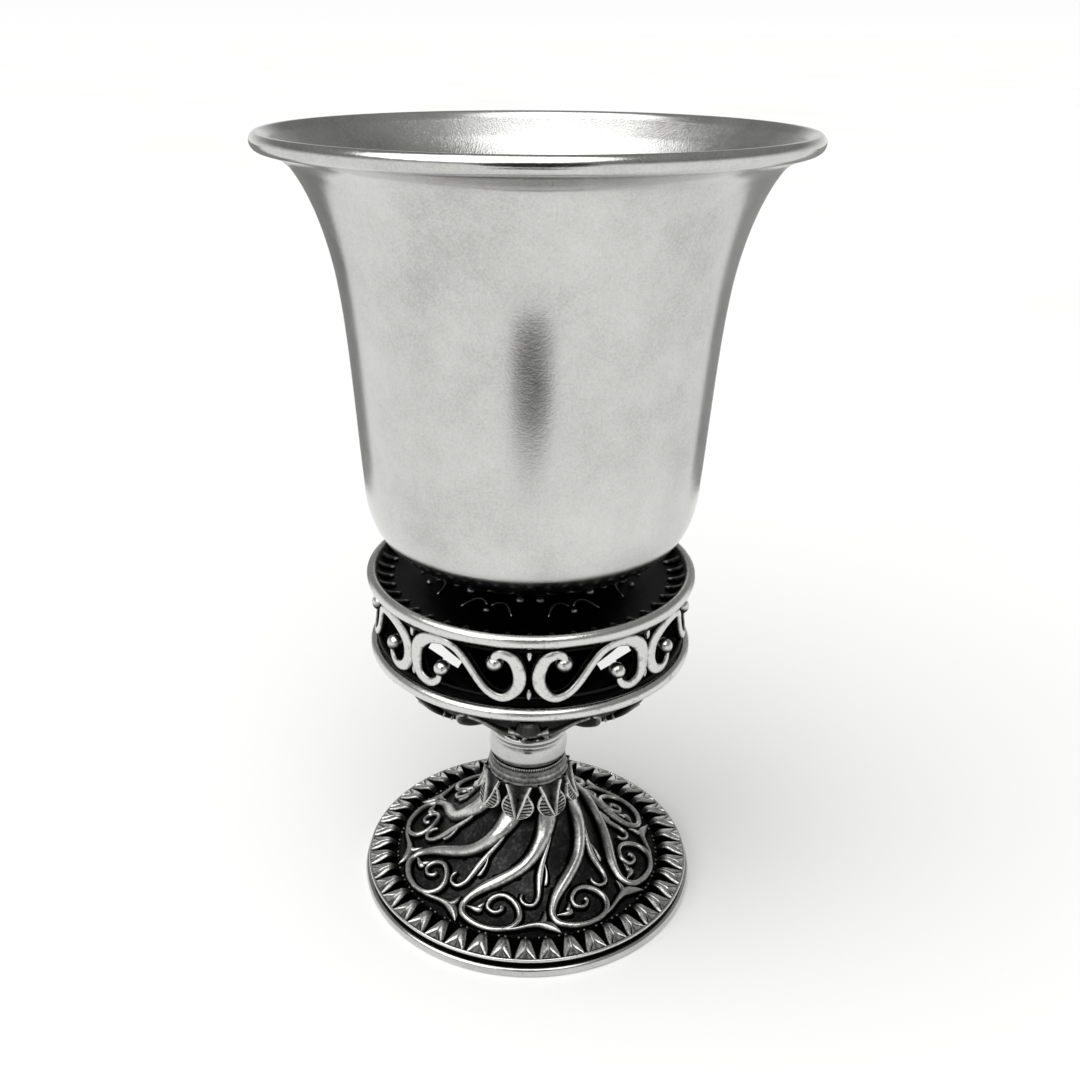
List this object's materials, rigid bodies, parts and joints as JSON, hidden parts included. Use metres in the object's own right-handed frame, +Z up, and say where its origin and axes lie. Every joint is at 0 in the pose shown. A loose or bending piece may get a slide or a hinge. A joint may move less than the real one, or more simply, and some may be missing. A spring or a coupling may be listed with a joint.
{
  "type": "kiddush cup",
  "caption": "Footed ceremonial wine cup with a flared bowl, a pierced scroll gallery and a domed foot with swirling relief.",
  "frame": {"origin": "centre of the flat underside of the base plate", "axes": "+Z up the axis of the cup, -Y towards the front of the gallery pattern"},
  "size_m": [0.084, 0.084, 0.1392],
  "materials": {
    "polished_silver": "sterling silver, satin to bright polish with fine handling scratches",
    "oxidised_silver": "sterling silver castings, blackened in the recesses and rubbed bright on the relief"
  },
  "bodies": {
    "root": {"bowl": "polished_silver", "gallery_tray": "oxidised_silver", "scroll_band": "oxidised_silver", "openwork_cup": "oxidised_silver", "stem_barrel": "polished_silver", "foot": "oxidised_silver", "base_plate": "polished_silver"}
  },
  "joints": []
}
